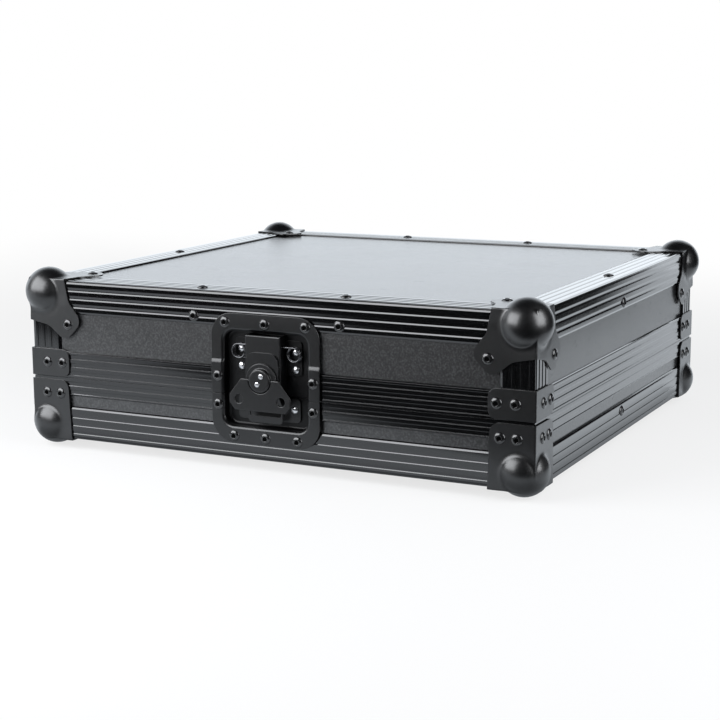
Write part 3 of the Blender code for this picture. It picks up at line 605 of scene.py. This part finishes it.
def pressed_corner(faces, inset, radius, flare, buried):
    """A folded plate with a ball pushed out of it, the case lying at +x, +y, +z.

    The flare is the width over which the ball runs out into the plate."""
    bm = bmesh.new()
    planes = ((0, 1, 2), (0, 2, 1), (1, 2, 0))
    for outline, (first, second, flat) in zip(faces, planes):
        corners = []
        for a, b in outline:
            spot = [0.0, 0.0, 0.0]
            spot[first], spot[second], spot[flat] = a, b, -PLATE_OUT
            corners.append(bm.verts.new(spot))
        bm.faces.new(corners)
    cuts = [-PLATE_OUT + step for step in (0.3, 0.65, 1.05)]
    cuts += [0.6 + 1.1 * step for step in range(31)] + [38, 43, 50]
    for axis in range(3):
        for cut in cuts:
            spot, normal = [0, 0, 0], [0, 0, 0]
            spot[axis], normal[axis] = cut, 1
            bmesh.ops.bisect_plane(bm, geom=[*bm.verts, *bm.edges, *bm.faces], dist=0.0001,
                                   plane_co=spot, plane_no=normal)
    bmesh.ops.remove_doubles(bm, verts=bm.verts, dist=0.001)
    centre, fold = Vector((inset,) * 3), 1.1
    for vertex in bm.verts:
        core = Vector([max(c, fold - PLATE_OUT) for c in vertex.co])
        out = vertex.co - core
        if out.length:
            vertex.co = core + out * fold / out.length
        away = vertex.co - centre
        plate = away.length
        run = min(max((plate - radius + ROOT) / (flare + ROOT), 0), 1)
        swell = flare * (3 - 2 * run) + (flare + ROOT) * (run - 1)
        ball = plate if run == 1 else radius + run * run * swell
        if buried:
            depth = min(max((max(vertex.co) - inset + 5) / 5, 0), 1)
            ball = radius + (ball - radius) * depth * depth * (3 - 2 * depth)
        vertex.co = centre + away * ball / plate
    bmesh.ops.scale(bm, vec=(MM, MM, MM), verts=bm.verts)
    bmesh.ops.recalc_face_normals(bm, faces=bm.faces)
    mesh = bpy.data.meshes.new("corner")
    bm.to_mesh(mesh)
    bm.free()
    made = bpy.data.objects.new("corner", mesh)
    scene.collection.objects.link(made)
    if sum(f.normal.dot(f.center) for f in mesh.polygons) > 0:
        mesh.flip_normals()
    wall = made.modifiers.new("wall", "SOLIDIFY")
    wall.thickness = PLATE * MM
    wall.offset = 1
    mesh = ease(made, 0.28, 2, 50).data
    bpy.data.objects.remove(made)
    return mesh


neck_x, neck_y, lean, tip = 41.0, 19.5, math.radians(50), 64.4
reach = (tip * math.sqrt(2) - neck_x - neck_y) / (math.cos(lean) + math.sin(lean))
ear_x, ear_y = neck_x + reach * math.cos(lean), neck_y + reach * math.sin(lean)
leg = [(36.8, -PLATE_OUT, 0), (neck_x, neck_y, 14), (ear_x, ear_y, 9.5)]
eared = rounded([(-PLATE_OUT, -PLATE_OUT, 0)] + leg + [(y, x, r) for x, y, r in reversed(leg)])
lid_corner = pressed_corner([eared] * 3, 11.6, 21.35, 7.8, False)
tall = rounded([(-PLATE_OUT, -PLATE_OUT, 0), (39.4, -PLATE_OUT, 0), (37.4, 53.7, 8),
                (-PLATE_OUT, 53.7, 0)])
under = rounded([(-PLATE_OUT, -PLATE_OUT, 0), (39.4, -PLATE_OUT, 0), (39.4, 39.4, 6),
                 (-PLATE_OUT, 39.4, 0)])
base_corner = pressed_corner([under, tall, tall], 13.6, 21.4, 6.0, True)

CORNERS = {
    "front_left": ((0, 0), (1, 0, 0), (0, 1, 0)),
    "front_right": ((WIDTH, 0), (0, 1, 0), (-1, 0, 0)),
    "rear_right": ((WIDTH, DEPTH), (-1, 0, 0), (0, -1, 0)),
    "rear_left": ((0, DEPTH), (0, -1, 0), (1, 0, 0)),
}


def corner_matrix(corner, height, flipped=False):
    """The frame of a corner, the case lying at +x, +y, +z, or at -z of a flipped one."""
    (x, y), right, up = CORNERS[corner]
    first, second = (Vector(up), Vector(right)) if flipped else (Vector(right), Vector(up))
    turn = Matrix((first, second, first.cross(second))).transposed().to_4x4()
    return Matrix.Translation(at(x, y, height)) @ turn


def local_rivet(x, y, z, out):
    """A rivet in a corner's own frame, in millimetres."""
    return (Matrix.Translation(Vector((x, y, z)) * MM)
            @ Vector(out).to_track_quat("Z", "Y").to_matrix().to_4x4())


ear_rivets = [local_rivet(39.5, 39.5, -PLATE_OUT, (0, 0, -1)),
              local_rivet(39.5, -PLATE_OUT, 39.5, (0, -1, 0)),
              local_rivet(-PLATE_OUT, 39.5, 39.5, (-1, 0, 0))]
plate_rivets = [local_rivet(x, -PLATE_OUT, 41.5, (0, -1, 0)) for x in (14.4, 29.0)]
plate_rivets += [local_rivet(-PLATE_OUT, y, 41.5, (-1, 0, 0)) for y in (14.4, 29.0)]
plate_rivets.append(local_rivet(29.0, 29.0, -PLATE_OUT, (0, 0, -1)))
for corner in CORNERS:
    high, low = corner_matrix(corner, HEIGHT, True), corner_matrix(corner, 0)
    piece("ball_lid_" + corner, lid_corner, coated, "lid", "lid_ball_corner_" + corner,
          matrix=high)
    piece("ball_base_" + corner, base_corner, coated, "base", "base_ball_corner_" + corner,
          matrix=low)
    gathered("rivets_ball_lid_" + corner, rivet_head, [high @ m for m in ear_rivets],
             black_rivet, "lid")
    gathered("rivets_ball_base_" + corner, rivet_head, [low @ m for m in plate_rivets],
             black_rivet, "base")


# Braces: coated steel plates folded round the upright edges of the lid, just above the closing
# line, and held by two rivets on each face.
BRACE_MID = 69.5
brace_rivets = [local_rivet(x, -PLATE_OUT, BRACE_MID, (0, -1, 0)) for x in (16, 32)]
brace_rivets += [local_rivet(-PLATE_OUT, y, BRACE_MID, (-1, 0, 0)) for y in (16, 32)]
for corner in CORNERS:
    dressed("lid_brace_" + corner, 0.28, coated)
    gathered("rivets_brace_" + corner, rivet_head,
             [corner_matrix(corner, 0) @ m for m in brace_rivets], black_rivet, "lid")


# Latch dish: a deep drawn tray in two halves that part at the closing line. The lid's half is
# joggled so that its upper flange lies flat on the panel. Down in the tray the coat is painted
# thin, so that it reflects less there: painted shade.
tray_steel_painted_shade = steel("black coated steel of the tray", Specular_IOR_Level=0.25)
# Painted shade: the coat fades from full at the flange to a tenth behind it, so that the dish's
# floor and the ground plate reflect less, as if in shade.
tray_steel_painted_shade.paint("Coat Weight", tray_steel_painted_shade.step(
    tray_steel_painted_shade.dot(tray_steel_painted_shade.place, (0, 1, 0)), at(0, 3, 0).y, at(0, -3, 0).y) * 0.9 + 0.1)
DISH = (52.0, 14.5, 126.3, 20.0)
MOUTH = (40.0, 29.2, 111.0, 9.0)
FLOOR, FLANGE, JOGGLE = 6.8, -2.7, 1.1
JOGGLE_LOW, JOGGLE_RISE = 82.3, 4
MIDDLE = WIDTH / 2


def grown(shape, by, steps=10):
    """The outline of a rounded opening grown by so much, always with as many points."""
    half, low, high, radius = shape
    half, low, high, radius = half + by, low - by, high + by, radius + by
    return rounded([(half, low, radius), (half, high, radius), (-half, high, radius),
                    (-half, low, radius)], steps)


def dish_half(name, low, high, thick, node, body):
    lip, foot = 3.0, 2.2
    turns = [math.radians(angle) for angle in (0, 22, 45, 68, 90)]
    loops = [(grown(DISH, 0), FLANGE + 0.5), (grown(DISH, -0.15), FLANGE + 0.15),
             (grown(DISH, -0.5), FLANGE)]
    loops += [(grown(MOUTH, lip * (1 - math.sin(a))), FLANGE + lip * (1 - math.cos(a)))
              for a in turns]
    loops += [(grown(MOUTH, foot * (math.cos(a) - 1)), FLOOR - foot * (1 - math.sin(a)))
              for a in turns]
    bm = bmesh.new()
    rings = [[bm.verts.new((x, y, z)) for x, z in outline] for outline, y in loops]
    for outer, inner in zip(rings, rings[1:]):
        for i in range(len(outer)):
            after = (i + 1) % len(outer)
            bm.faces.new((outer[i], outer[after], inner[after], inner[i]))
    bm.faces.new(rings[-1])
    cuts = [(low, False, True), (high, True, False)]
    cuts += [(height, False, False) for height in (JOGGLE_LOW, 83.3, 84.4, 85.4, 86.3)]
    for height, drop_above, drop_below in cuts:
        bmesh.ops.bisect_plane(bm, geom=[*bm.verts, *bm.edges, *bm.faces], dist=0.0001,
                               plane_co=(0, 0, height), plane_no=(0, 0, 1),
                               clear_outer=drop_above, clear_inner=drop_below)
    for vertex in bm.verts:
        if vertex.co.y < 0:
            rise = min(max((vertex.co.z - JOGGLE_LOW) / JOGGLE_RISE, 0), 1)
            vertex.co.y += JOGGLE * rise ** 1.6
    for vertex in bm.verts:
        vertex.co = at(vertex.co.x + MIDDLE, vertex.co.y, vertex.co.z)
    bmesh.ops.recalc_face_normals(bm, faces=bm.faces)
    mesh = bpy.data.meshes.new(name)
    bm.to_mesh(mesh)
    bm.free()
    if sum(f.normal.y * f.area for f in mesh.polygons) > 0:
        mesh.flip_normals()
    made = piece(name, mesh, tray_steel_painted_shade, body, node)
    wall = made.modifiers.new("wall", "SOLIDIFY")
    wall.thickness = thick * MM
    wall.offset = -1
    return ease(made, 0.4, 3, 50)


dish_half("dish_lid", SPLIT + 0.2, 200.0, PLATE, "lid_latch_dish", "lid")
dish_half("dish_base", 0.0, SPLIT - 0.2, 1.8, "base_latch_dish", "base")
flange_high = FLANGE + JOGGLE
gathered("rivets_dish_lid", rivet_head,
         [standing((MIDDLE + x, flange_high, 118.0), (0, -1, 0)) for x in (-38.5, 0, 38.5)]
         + [standing((MIDDLE + x, FLANGE, 71.4), (0, -1, 0)) for x in (-45.7, 45.7)],
         black_rivet, "lid")
gathered("rivets_dish_base", rivet_head,
         [standing((MIDDLE + x, FLANGE, 20.3), (0, -1, 0)) for x in (-30.5, 0, 30.5)]
         + [standing((MIDDLE + x, FLANGE, 46.6), (0, -1, 0)) for x in (-45.7, 45.7)],
         black_rivet, "base")


# Latch plate: a ground plate riveted to the dish's floor, and the folded bridge that carries the
# rotor. Small bright rivets hold it.
bridge_front = at(0, -5.6, 0).y
# A duller copy of the coated steel for the rotor, the wing and the keeper: less coat and less
# reflection. On the keeper, down in the dish, this darkness stands in for painted shade.
dull_latch_steel = steel("black coated steel of the latch", Specular_IOR_Level=0.4, Coat_Weight=0.45)


def bridge_fold(co):
    return abs(abs(co.x) - 0.0168) < 0.0003 and abs(co.y - bridge_front) < 0.0003


dressed("latch_plate", 0.22, tray_steel_painted_shade, bridge_fold, 1.3)

bright = Finish("bright rivet", "coated_steel", Metallic=1.0)
brushing = bright.cloud(900, 4)
bright.paint("Base Color", bright.shade(
    brushing, (0.3, (0.62, 0.62, 0.64)), (0.7, (0.88, 0.88, 0.89))))
bright.paint("Roughness", brushing * 0.15 + 0.2)


def dome(radius, high):
    """A small solid rivet head."""
    arc = [math.radians(angle) for angle in (0, 20, 40, 58, 74)]
    return lathe([(0, -0.3), (radius, -0.3)]
                 + [(radius * math.cos(a), 0.1 + high * math.sin(a)) for a in arc]
                 + [(0, 0.1 + high)], 28)


ground_face = FLOOR - GAP - 1.3
gathered("rivets_latch_plate", dome(3.4, 1.6),
         [standing((MIDDLE + x, ground_face, z), (0, -1, 0))
          for x in (-26, 26) for z in (95.5, 80.4)], bright, "lid")


# Spring: one hardened wire across the back of the bridge, curled two and a half turns round the
# upper rivet at each end, which tips the draw plate outward when the latch lets go.
COIL_X, COIL_Z, COIL_RADIUS, WIRE, COIL_FRONT = 26.4, 94.0, 6.0, 0.7, -0.6

oiled = Finish("blackened spring wire", "spring_steel", Metallic=0.85, Coat_Weight=0.5,
               Coat_Roughness=0.08)
drawn = oiled.cloud(700, 3)
oiled.paint("Base Color", oiled.shade(drawn, (0.3, grey(0.06, 1.05)), (0.7, grey(0.14, 1.06))))
oiled.paint("Roughness", drawn * 0.14 + 0.14)


def spring_line():
    curl, turns, pitch = 36, 2.5, 1.9
    half = [Vector((0, COIL_FRONT, COIL_Z + COIL_RADIUS)),
            Vector((COIL_X - 2, COIL_FRONT, COIL_Z + COIL_RADIUS))]
    for step in range(int(curl * turns) + 1):
        angle = math.pi / 2 - 2 * math.pi * step / curl
        half.append(Vector((COIL_X + COIL_RADIUS * math.cos(angle),
                            COIL_FRONT + pitch * step / curl,
                            COIL_Z + COIL_RADIUS * math.sin(angle))))
    tail = half[-1]
    half += [tail + Vector((-3, 0.1, 0)), tail + Vector((-6, 0.1, 0))]
    return [Vector((-p.x, p.y, p.z)) for p in reversed(half[1:])] + half


wire = bpy.data.curves.new("spring_wire", "CURVE")
wire.dimensions = "3D"
wire.bevel_depth = WIRE * MM
wire.bevel_resolution = 4
wire.use_fill_caps = True
strand = wire.splines.new("POLY")
path = spring_line()
strand.points.add(len(path) - 1)
for point, spot in zip(strand.points, path):
    point.co = (*at(spot.x + MIDDLE, spot.y, spot.z), 1)
strand.use_smooth = True
piece("spring_wire", wire, oiled, "lid", "latch_spring")


# Draw plate: pressed steel cranked towards the case, with a slot for the keeper. It lies between
# the bridge and the rotor's collar, and slides as the rotor turns.
dressed("draw_plate", 0.3, tray_steel_painted_shade)


# Rotor: the boss that the fingers turn, its collar over the draw plate, and the shaft through the
# bridge. Two small bright rivets show in the face of the boss.
TURN_Z, WING_Y = 71.8, -10.8
rotor = lathe([(0, 12.5), (8.3, 12.5), (8.6, 12.5), (9.3, 12.38), (9.8, 12.1), (10.05, 11.7),
               (10.1, 11.2), (10.1, 9.5), (10.3, 9.12), (10.8, 9.0), (11.1, 9.0), (13.6, 9.0),
               (13.9, 9.0), (14.3, 8.86), (14.5, 8.5), (14.5, 7.75), (14.35, 7.6), (5.2, 7.6),
               (5.2, 3.8), (8.8, 3.8), (9.0, 3.6), (9.0, 1.5), (0, 1.5)], 72)
rotor_place = standing((MIDDLE, 0, TURN_Z), (0, -1, 0))
piece("rotor_boss", rotor, dull_latch_steel, "rotor", "latch_rotor", matrix=rotor_place)
gathered("rivets_boss", dome(2.2, 0.38),
         [standing((MIDDLE + x, -12.5, TURN_Z + z), (0, -1, 0))
          for x, z in ((1.8, 4.0), (-1.8, -3.0))], bright, "rotor")


# Wing: the butterfly handle, stamped with a finger hole in each blade and hinged on a pin
# through the boss, so that it lies flat in the dish or stands straight out.
def plate(name, outlines, thick, rounding, matrix, finish, body, *nodes):
    """A flat stamping from an outline and its holes in millimetres, with rounded edges."""
    drawn = bpy.data.curves.new(name, "CURVE")
    drawn.dimensions = "2D"
    drawn.fill_mode = "BOTH"
    drawn.extrude = (thick / 2 - rounding) * MM
    drawn.bevel_depth = rounding * MM
    drawn.bevel_resolution = 2
    drawn.offset = -rounding * MM
    for outline in outlines:
        spline = drawn.splines.new("POLY")
        spline.points.add(len(outline) - 1)
        for point, (x, y) in zip(spline.points, outline):
            point.co = (x * MM, y * MM, 0, 1)
        spline.use_cyclic_u = True
    made = bpy.data.objects.new(name, drawn)
    scene.collection.objects.link(made)
    graph = bpy.context.evaluated_depsgraph_get()
    mesh = bpy.data.meshes.new_from_object(made.evaluated_get(graph))
    bpy.data.objects.remove(made)
    bm = bmesh.new()
    bm.from_mesh(mesh)
    bmesh.ops.remove_doubles(bm, verts=bm.verts, dist=0.000002)
    bm.to_mesh(mesh)
    bm.free()
    return ease(piece(name, mesh, finish, body, *nodes, matrix=matrix), 0)


def circle(x, y, radius, steps=32):
    return [(x + radius * math.cos(2 * math.pi * step / steps),
             y + radius * math.sin(2 * math.pi * step / steps)) for step in range(steps)]


NOTCH, RISE, SPAN, DROP, BLADE = 10.7, 1.2, 29.3, 26.3, 1.8
start = math.asin(RISE / NOTCH)
around_boss = [(NOTCH * math.cos(angle), NOTCH * math.sin(angle))
               for angle in (-math.pi - start + (math.pi + 2 * start) * step / 40
                             for step in range(41))]
half_wing = [(18, RISE, 2), (SPAN, 13.2 - DROP, 3), (SPAN, 6.4 - DROP, 3),
             (SPAN - 5.1, -DROP, 3)]
wing_outline = rounded([(x, z, 0) for x, z in around_boss] + half_wing
                       + [(-x, z, radius) for x, z, radius in reversed(half_wing)], 6)
upright = Matrix(((1, 0, 0), (0, 0, -1), (0, 1, 0))).to_4x4()
wing_place = Matrix.Translation(at(MIDDLE, WING_Y, TURN_Z)) @ upright
finger_holes = [circle(x, 9.8 - DROP, 3.75) for x in (20.2, -20.2)]
plate("wing_blades", [wing_outline, *finger_holes], BLADE, 0.8, wing_place, dull_latch_steel, "wing",
      "latch_wing")
pin = lathe([(0, 11.9), (0.6, 11.9), (0.84, 11.7), (0.84, -11.7), (0.6, -11.9), (0, -11.9)], 20)
gathered("wing_pin", pin, [standing((MIDDLE, WING_Y, TURN_Z), (1, 0, 0))], coated, "wing")


# Keeper: the riveted plate in the base's half of the dish, with a ledge behind the draw plate. On
# a real latch the plate hooks it, and here it stops short so that the lid moves freely.
dressed("latch_keeper", 0.25, dull_latch_steel)
gathered("rivets_keeper", dome(3.4, 1.6),
         [standing((MIDDLE + x, ground_face, 46), (0, -1, 0)) for x in (-24.5, 24.5)],
         bright, "base")


# Stop hinges at the back: two leaves on a pin, and a lug on the lid's leaf that meets the base's
# leaf when the lid stands open.
leaf_face = DEPTH + GAP + 1.5
for side, x in (("left", MIDDLE - 130), ("right", MIDDLE + 130)):
    dressed("hinge_lid_leaf_" + side, 0.25, coated)
    dressed("hinge_base_leaf_" + side, 0.25, coated)
    gathered("rivets_hinge_lid_" + side, rivet_head,
             [standing((x + dx, leaf_face, SPLIT + dz), (0, 1, 0))
              for dx in (-20, 20) for dz in (14, 30)], black_rivet, "lid")
    gathered("rivets_hinge_base_" + side, rivet_head,
             [standing((x + dx, leaf_face, SPLIT - dz), (0, 1, 0))
              for dx in (-20, 20) for dz in (14, 30)], black_rivet, "base")


# Foam: charcoal open cell foam, cut in strips for the rim and a slab between them. The lid's
# slab is cut in waves that press on the desk.
foam = Finish("charcoal foam", "foam", Sheen_Weight=0.35, Sheen_Roughness=0.5,
              Specular_IOR_Level=0.15)
cells = foam.add("ShaderNodeTexVoronoi", {"feature": "DISTANCE_TO_EDGE"},
                 {"Vector": foam.place, "Scale": 620.0})
mottle = foam.cloud(35, 5)
foam.paint("Base Color", foam.shade(
    foam.step(cells, 0.0, 0.25) * 0.7 + mottle * 0.3,
    (0.15, grey(0.012)), (0.6, grey(0.042, 1.04)), (0.95, grey(0.075, 1.05))))
foam.paint("Roughness", mottle * 0.1 + 0.88)
foam.relief(foam.step(cells, 0.0, 0.3) + foam.cloud(240, 4) * 0.8, 0.0008, 0.9)


def foam_block(name, low, high, body, node, wave=0.0, face=0):
    """A cut block: soft edges, faces that are a little uneven, and waves on one face."""
    low, high = at(*low), at(*high)
    size = high - low
    cell = 0.0045 if wave else 0.009
    bm = bmesh.new()
    bmesh.ops.create_cube(bm, size=1)
    for vertex in bm.verts:
        vertex.co = Vector([low[i] + (vertex.co[i] + 0.5) * size[i] for i in range(3)])
    bmesh.ops.bevel(bm, geom=bm.edges[:], offset=0.0022, segments=3, affect="EDGES", profile=0.6)
    for axis in range(3):
        count = max(int(size[axis] / cell), 1)
        for step in range(1, count):
            normal = [0, 0, 0]
            normal[axis] = 1
            bmesh.ops.bisect_plane(bm, geom=[*bm.verts, *bm.edges, *bm.faces], dist=0.00001,
                                   plane_co=low + size * (step / count), plane_no=normal)
    for vertex in bm.verts:
        depth = 0.00045 * (1 + noise.noise(vertex.co * 38))
        inward = (low + high) / 2 - vertex.co
        sides = [abs(inward[i]) > size[i] / 2 - 0.0023 for i in range(3)]
        for i in range(3):
            if sides[i]:
                vertex.co[i] += math.copysign(depth, inward[i])
        if wave and face * (vertex.co.z - (low.z + high.z) / 2) > 0:
            edge = min(size.x / 2 - abs(inward.x), size.y / 2 - abs(inward.y))
            swell = (math.sin(vertex.co.x * math.tau / 0.034)
                     * math.sin(vertex.co.y * math.tau / 0.034))
            vertex.co.z -= face * wave * (0.5 - 0.5 * swell) * min(edge / 0.012, 1)
    mesh = bpy.data.meshes.new(name)
    bm.to_mesh(mesh)
    bm.free()
    mesh.shade_smooth()
    made = piece(name, mesh, foam, body, node)


FROM, WALL, CUT = 10.6, 24.0, 0.15
for body, low, high, slab_low, slab_high in (
        ("base", 10.4, SPLIT - 3, 10.4, 22.2), ("lid", SPLIT + 1, 133.6, 121.8, 133.6)):
    node = body + "_foam"
    in_x, in_y = FROM + WALL, FROM + WALL
    foam_block("foam_%s_front" % body, (FROM, FROM, low), (WIDTH - FROM, in_y - CUT, high),
               body, node)
    foam_block("foam_%s_rear" % body, (FROM, DEPTH - in_y + CUT, low),
               (WIDTH - FROM, DEPTH - FROM, high), body, node)
    foam_block("foam_%s_left" % body, (FROM, in_y, low), (in_x - CUT, DEPTH - in_y, high),
               body, node)
    foam_block("foam_%s_right" % body, (WIDTH - in_x + CUT, in_y, low),
               (WIDTH - FROM, DEPTH - in_y, high), body, node)
    foam_block("foam_%s_slab" % body, (in_x, in_y, slab_low),
               (WIDTH - in_x, DEPTH - in_y, slab_high), body, node,
               5.5 * MM if body == "lid" else 0.0, -1)


# Feet: moulded rubber, one near each corner of the base's floor, each held by a screw whose
# washer and head sit in a recess of the rubber.
rubber = Finish("black rubber", "rubber", Specular_IOR_Level=0.4)
bloom = rubber.cloud(180, 5)
rubber.paint("Base Color", rubber.shade(bloom, (0.3, grey(0.016)), (0.75, grey(0.045, 0.98))))
rubber.paint("Roughness", bloom * 0.2 + 0.6)
rubber.relief(rubber.cloud(1200, 3), 0.0001, 0.5)
foot = lathe([(0, -1.6), (19, -1.6), (19, 0.4), (18.85, 1.2), (17.6, 8.3), (17.1, 9.2),
              (16.4, 9.5), (8.2, 9.5), (7.5, 9.2), (7.0, 8.6), (6.1, 5.0), (0, 5.0)], 56)
screw = lathe([(0, 5.0), (5.6, 5.0), (5.6, 5.7), (3.9, 5.8), (3.8, 6.3), (3.1, 7.2), (1.7, 7.7),
               (0.9, 7.75), (0.6, 6.9), (0, 6.9)], 32)
for corner, ((x, y), right, up) in CORNERS.items():
    inset = (Vector(right) + Vector(up)) * 75
    stand = standing((x + inset.x, y + inset.y, 0), (0, 0, -1))
    piece("rubber_foot_" + corner, foot, rubber, "base", "foot_" + corner, matrix=stand)
    gathered("foot_screw_" + corner, screw, [stand], bright, "base")

low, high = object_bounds()
